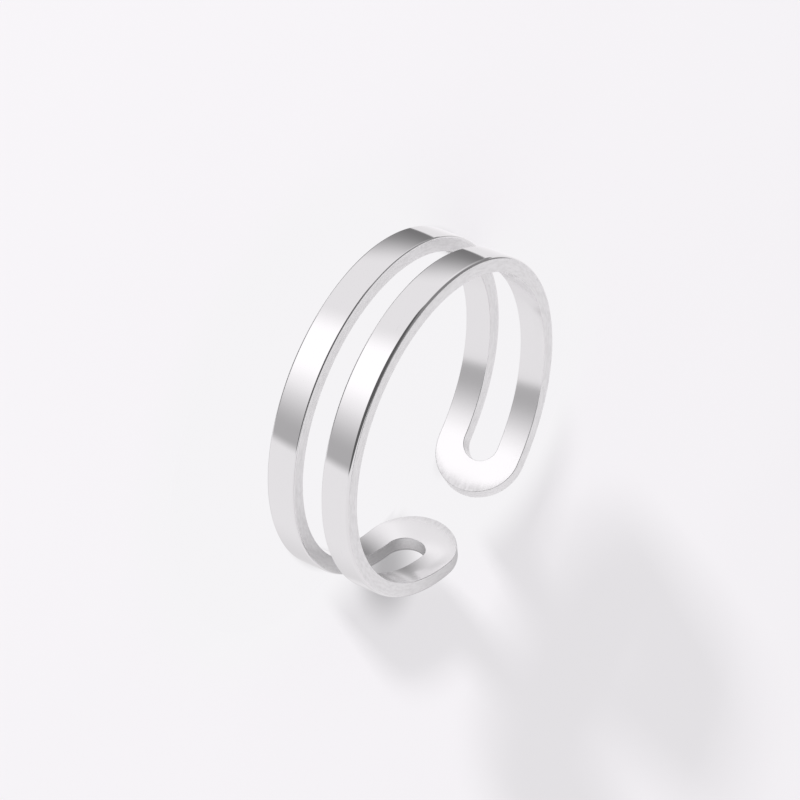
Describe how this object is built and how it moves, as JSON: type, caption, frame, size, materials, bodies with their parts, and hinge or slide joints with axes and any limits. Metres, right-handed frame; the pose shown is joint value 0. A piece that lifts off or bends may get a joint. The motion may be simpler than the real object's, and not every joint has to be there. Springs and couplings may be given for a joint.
{
  "type": "open cuff ring",
  "caption": "Open cuff finger ring: a polished metal band with a long slot, so that slim parallel rails join in rounded ends at either side of a small opening.",
  "frame": {"origin": "on the axis of the finger hole, in the plane of the side face that the ring lies on", "axes": "+Z along the finger hole, up out of the lying ring; +X through the middle of the opening; +Y completes the right-handed frame"},
  "size_m": [0.0189, 0.019, 0.0051],
  "materials": {
    "polished_silver": "mirror-polished silver, finely brushed on its side faces"
  },
  "bodies": {
    "root": {"cuff_band": "polished_silver"}
  },
  "joints": []
}
